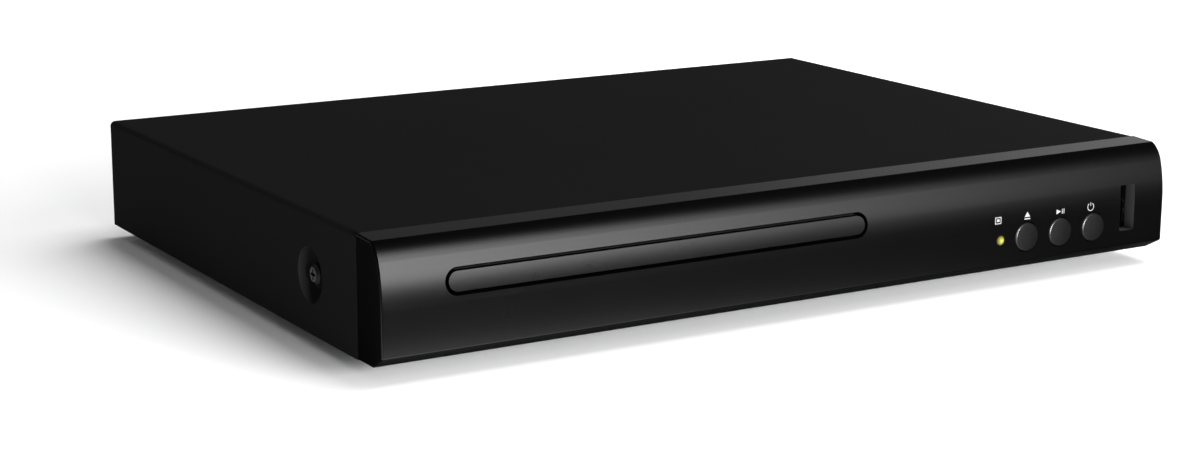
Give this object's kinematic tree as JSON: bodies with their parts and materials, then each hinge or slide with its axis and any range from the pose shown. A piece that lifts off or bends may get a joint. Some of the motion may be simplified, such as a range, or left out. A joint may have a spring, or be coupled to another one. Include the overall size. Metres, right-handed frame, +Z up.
{
  "type": "blu-ray player",
  "caption": "Compact tray-loading disc player: folded steel case, rolled front panel with sliding tray, push buttons, USB slot, and a complete loader and optics inside.",
  "frame": {"origin": "on the floor under the middle of the player", "axes": "+X to the player's right seen from the front, +Y to the rear, +Z up; the front faces -Y"},
  "size_m": [0.27, 0.206, 0.038],
  "materials": {
    "cover_black": "satin powder coat",
    "panel_black": "satin gloss moulding",
    "button_grey": "satin",
    "lamp_yellow": "clear lens, lit",
    "pan_steel": "zinc coated sheet",
    "rear_black": "satin",
    "screw_black": "black oxide",
    "screw_zinc": "zinc",
    "foot_rubber": "matte",
    "board_green": "solder mask",
    "chip_black": "epoxy",
    "part_black": "moulded",
    "tin_shell": "tin plate",
    "sink_alu": "extruded",
    "can_silver": "sleeved",
    "socket_white": "moulded",
    "ribbon_white": "film",
    "coax_orange": "moulded",
    "nickel": "nickel plate",
    "tray_black": "fine texture",
    "loader_black": "moulded",
    "gear_white": "acetal",
    "motor_can": "drawn can",
    "belt_rubber": "ground",
    "bridge_steel": "pressed sheet",
    "magnet_grey": "sintered",
    "traverse_grey": "glass-filled",
    "rod_steel": "ground",
    "pickup_cast": "die cast",
    "lens_glass": "coated"
  },
  "bodies": {
    "case": {"top_cover": "cover_black", "base_pan": "pan_steel", "rear_panel": "rear_black", "front_panel": "panel_black", "cover_side_screws": "screw_black", "rear_screws": "screw_black", "status_lens": "lamp_yellow", "status_led": "lamp_yellow", "remote_receiver": "part_black", "front_board": "board_green", "front_board_screws": "screw_zinc", "tact_switches": "part_black", "usb_shell": "tin_shell", "usb_tongue": "part_black", "main_board": "board_green", "main_board_screws": "screw_zinc", "processor": "chip_black", "heat_sink": "sink_alu", "memory_chips": "chip_black", "capacitors": "can_silver", "ribbon_sockets": "socket_white", "front_ribbon": "ribbon_white", "hdmi_shell": "tin_shell", "hdmi_tongue": "part_black", "lan_socket": "part_black", "coax_socket": "coax_orange", "coax_barrel": "nickel", "dc_socket": "part_black", "loader_frame": "loader_black", "loader_screws": "screw_zinc", "load_motor": "motor_can", "drive_belt": "belt_rubber", "clamp_bridge": "bridge_steel", "foot_front_left": "foot_rubber", "foot_front_right": "foot_rubber", "foot_rear_left": "foot_rubber", "foot_rear_right": "foot_rubber"},
    "tray": {"disc_tray": "tray_black", "tray_bezel": "panel_black"},
    "tray_gear": {"tray_gear": "gear_white"},
    "pulley_gear": {"pulley_gear": "gear_white"},
    "motor_pulley": {"motor_pulley": "nickel"},
    "cam_slider": {"cam_slider": "gear_white"},
    "traverse": {"traverse_frame": "traverse_grey", "spindle_motor": "motor_can", "guide_rods": "rod_steel", "feed_motor": "motor_can"},
    "turntable": {"turntable": "part_black"},
    "pickup": {"pickup": "pickup_cast", "pickup_lens": "lens_glass"},
    "lead_screw": {"lead_screw": "rod_steel"},
    "clamp": {"clamp_puck": "part_black", "clamp_magnet": "magnet_grey", "clamp_cap": "part_black"},
    "eject": {"eject_button": "button_grey"},
    "play": {"play_button": "button_grey"},
    "power": {"power_button": "button_grey"}
  },
  "joints": [
    {"name": "tray_slide", "type": "slide", "parent": "case", "child": "tray", "axis": [0, -1, 0], "range_m": [0, 0.13]},
    {"name": "tray_gear_spin", "type": "hinge", "parent": "case", "child": "tray_gear", "pos_m": [-0.00296, -0.0665, 0.015], "axis": [0, 0, -1], "range_deg": [0, 690.67]},
    {"name": "pulley_gear_spin", "type": "hinge", "parent": "case", "child": "pulley_gear", "pos_m": [-0.02056, -0.0665, 0.0146], "axis": [0, 0, 1], "range_deg": [0, 1840.12]},
    {"name": "motor_pulley_spin", "type": "hinge", "parent": "case", "child": "motor_pulley", "pos_m": [-0.04756, -0.0665, 0.0192], "axis": [0, 0, 1], "range_deg": [0, 7923.38]},
    {"name": "traverse_lift", "type": "hinge", "parent": "case", "child": "traverse", "pos_m": [-0.0484, 0.072, 0.017], "axis": [-1, 0, 0], "range_deg": [0, 3.46]},
    {"name": "cam_slide", "type": "slide", "parent": "case", "child": "cam_slider", "axis": [-1, 0, 0], "range_m": [0, 0.012]},
    {"name": "spindle_spin", "type": "hinge", "parent": "traverse", "child": "turntable", "pos_m": [-0.0484, -0.03448, 0.02168], "axis": [0, -0.0604, 0.9982], "continuous": true},
    {"name": "pickup_slide", "type": "slide", "parent": "traverse", "child": "pickup", "axis": [0, 0.9982, 0.0604], "range_m": [0, 0.034]},
    {"name": "lead_screw_spin", "type": "hinge", "parent": "traverse", "child": "lead_screw", "pos_m": [-0.0154, -0.01791, 0.01276], "axis": [0, 0.9982, 0.0604], "range_deg": [0, 4081]},
    {"name": "clamp_lift", "type": "slide", "parent": "case", "child": "clamp", "axis": [0, 0, 1], "range_m": [0, 0.001]},
    {"name": "eject_press", "type": "slide", "parent": "case", "child": "eject", "axis": [0, 1, 0], "range_m": [0, 0.0008], "stiffness_N_per_m": 1200},
    {"name": "play_press", "type": "slide", "parent": "case", "child": "play", "axis": [0, 1, 0], "range_m": [0, 0.0008], "stiffness_N_per_m": 1200},
    {"name": "power_press", "type": "slide", "parent": "case", "child": "power", "axis": [0, 1, 0], "range_m": [0, 0.0008], "stiffness_N_per_m": 1200}
  ],
  "couplings": [
    {"joint": "tray_gear_spin", "follows": "tray_slide", "rad_per_m": 92.593},
    {"joint": "pulley_gear_spin", "follows": "tray_slide", "rad_per_m": 246.91},
    {"joint": "motor_pulley_spin", "follows": "tray_slide", "rad_per_m": 1063.6},
    {"joint": "cam_slide", "follows": "traverse_lift", "m_per_rad": 0.19863},
    {"joint": "lead_screw_spin", "follows": "pickup_slide", "rad_per_m": 2094.4}
  ]
}
